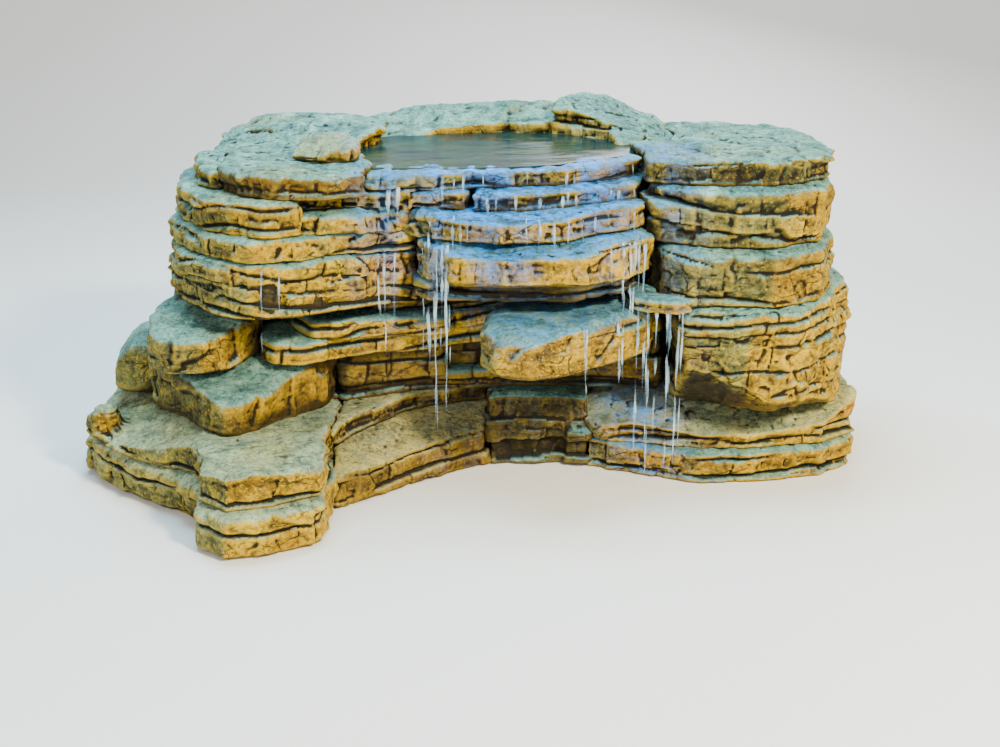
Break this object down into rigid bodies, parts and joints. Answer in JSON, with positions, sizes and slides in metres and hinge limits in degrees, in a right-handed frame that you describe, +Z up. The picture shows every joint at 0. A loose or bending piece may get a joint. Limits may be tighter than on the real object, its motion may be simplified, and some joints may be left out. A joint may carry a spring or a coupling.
{
  "type": "artificial rock waterfall",
  "caption": "Free-standing artificial-rock waterfall: stacked hollow cast ledges round an upper basin that spills over a lip, with a plumbing bay behind.",
  "frame": {"origin": "on the ground, under the middle of the object's bounding box", "axes": "+X to the right and +Y to the back, as one stands at the pool's edge and faces the cascade; +Z up"},
  "size_m": [2.225, 1.36, 0.984],
  "materials": {
    "cast_rock": "rough, tinted to look like weathered sandstone",
    "tub_black": "satin",
    "fitting_black": "satin",
    "rubber_black": "matt",
    "pipe_white": "semi-gloss",
    "pipe_grey": "semi-gloss",
    "ball_white": "polished",
    "lever_red": "semi-gloss",
    "steel_bright": "brushed",
    "steel_galvanised": "galvanised, dull"
  },
  "bodies": {
    "waterfall": {"back_boulder": "cast_rock", "bulkhead_body": "fitting_black", "bulkhead_gasket": "rubber_black", "bulkhead_nut": "fitting_black", "cascade_ledge_2": "cast_rock", "cascade_ledge_3": "cast_rock", "cascade_ledge_4": "cast_rock", "diffuser_cap": "fitting_black", "drain_plug": "pipe_grey", "front_base_lower": "cast_rock", "front_base_upper": "cast_rock", "grotto_course_1": "cast_rock", "grotto_course_2": "cast_rock", "grotto_course_3": "cast_rock", "inlet_coupling": "pipe_white", "jutting_boulder": "cast_rock", "keystone_block": "cast_rock", "left_cap": "cast_rock", "left_flank": "cast_rock", "left_ledges": "cast_rock", "left_rim_rear": "cast_rock", "left_rim_rock": "cast_rock", "left_rim_side": "cast_rock", "left_shoulder": "cast_rock", "left_tower_lower": "cast_rock", "left_tower_upper": "cast_rock", "lower_riser": "pipe_white", "lower_step": "cast_rock", "panel_grommets": "rubber_black", "pool_wall": "cast_rock", "rear_base_left": "cast_rock", "rear_base_right": "cast_rock", "rear_rim": "cast_rock", "rear_wall": "cast_rock", "right_base_lower": "cast_rock", "right_base_upper": "cast_rock", "right_cap": "cast_rock", "right_pillar": "cast_rock", "right_tower_mid": "cast_rock", "right_tower_upper": "cast_rock", "rim_peak": "cast_rock", "riser_elbow": "pipe_white", "spill_lip": "cast_rock", "supply_pipe": "pipe_white", "tub_frame": "steel_galvanised", "tub_pads": "rubber_black", "under_ledge": "cast_rock", "upper_riser": "pipe_white", "upper_step": "cast_rock", "valve_body": "pipe_grey", "water_tub": "tub_black", "wing_lower": "cast_rock", "wing_upper": "cast_rock"},
    "valve_handle": {"valve_ball": "ball_white", "valve_stem": "pipe_grey", "valve_lever": "lever_red", "lever_nut": "steel_bright"},
    "rear_panel": {"access_panel": "cast_rock", "panel_studs": "steel_bright"}
  },
  "joints": [
    {"name": "valve_turn", "type": "hinge", "parent": "waterfall", "child": "valve_handle", "pos_m": [0.0775, 0.368, 0.385], "axis": [0, 1, 0], "range_deg": [0, 90]},
    {"name": "panel_slide", "type": "slide", "parent": "waterfall", "child": "rear_panel", "axis": [0, 1, 0], "range_m": [0, 0.3]}
  ]
}
